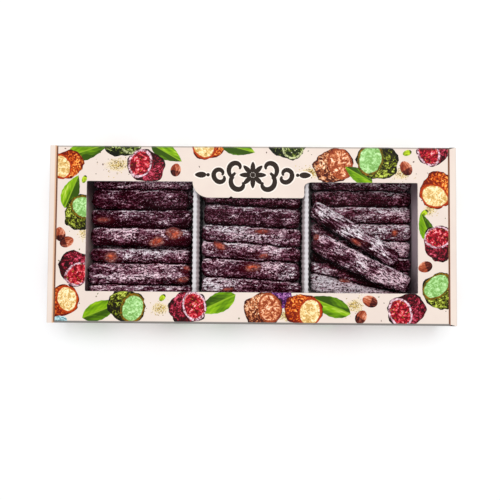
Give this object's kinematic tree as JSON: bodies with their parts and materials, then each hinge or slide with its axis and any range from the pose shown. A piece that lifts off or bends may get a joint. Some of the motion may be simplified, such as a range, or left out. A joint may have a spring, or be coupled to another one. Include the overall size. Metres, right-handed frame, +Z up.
{
  "type": "boxed turkish delight",
  "caption": "Flat gift carton with a shut lid and a clear window over rows of dark, starch-dusted Turkish delight sticks with nuts, parted by fluted paper dividers.",
  "frame": {"origin": "middle of the underside of the carton, on the surface it stands on", "axes": "+X along the carton, to the right of the picture; +Y towards the fold of the lid, at the top of the picture; +Z up, out of the window"},
  "size_m": [0.3866, 0.1688, 0.045],
  "materials": {
    "printed_board": null,
    "plain_board": "matt, unprinted grey board",
    "fluted_paper": "matt white paper with upright flutes",
    "clear_film": "clear glossy film",
    "dusted_jelly": "dark burgundy fruit jelly under patchy starch dust, with brown nuts in it"
  },
  "bodies": {
    "root": {"carton_tray": "printed_board", "carton_lid": "printed_board", "window_film": "clear_film", "spacer_left": "plain_board", "spacer_right": "plain_board", "divider_left": "fluted_paper", "divider_right": "fluted_paper", "stick_left_1": "dusted_jelly", "stick_left_2": "dusted_jelly", "stick_left_3": "dusted_jelly", "stick_left_4": "dusted_jelly", "stick_left_5": "dusted_jelly", "stick_left_6": "dusted_jelly", "stick_left_7": "dusted_jelly", "stick_left_8": "dusted_jelly", "stick_left_9": "dusted_jelly", "stick_middle_1": "dusted_jelly", "stick_middle_2": "dusted_jelly", "stick_middle_3": "dusted_jelly", "stick_middle_4": "dusted_jelly", "stick_middle_5": "dusted_jelly", "stick_middle_6": "dusted_jelly", "stick_middle_7": "dusted_jelly", "stick_middle_8": "dusted_jelly", "stick_middle_9": "dusted_jelly", "stick_right_1": "dusted_jelly", "stick_right_2": "dusted_jelly", "stick_right_3": "dusted_jelly", "stick_right_4": "dusted_jelly", "stick_right_5": "dusted_jelly", "stick_right_6": "dusted_jelly", "stick_right_7": "dusted_jelly", "stick_right_8": "dusted_jelly", "stick_right_9": "dusted_jelly", "stick_right_10": "dusted_jelly", "stick_loose_1": "dusted_jelly", "stick_loose_2": "dusted_jelly", "bed_left_1": "dusted_jelly", "bed_left_2": "dusted_jelly", "bed_left_3": "dusted_jelly", "bed_left_4": "dusted_jelly", "bed_left_5": "dusted_jelly", "bed_left_6": "dusted_jelly", "bed_left_7": "dusted_jelly", "bed_left_8": "dusted_jelly", "bed_left_9": "dusted_jelly", "bed_middle_1": "dusted_jelly", "bed_middle_2": "dusted_jelly", "bed_middle_3": "dusted_jelly", "bed_middle_4": "dusted_jelly", "bed_middle_5": "dusted_jelly", "bed_middle_6": "dusted_jelly", "bed_middle_7": "dusted_jelly", "bed_middle_8": "dusted_jelly", "bed_middle_9": "dusted_jelly"}
  },
  "joints": []
}
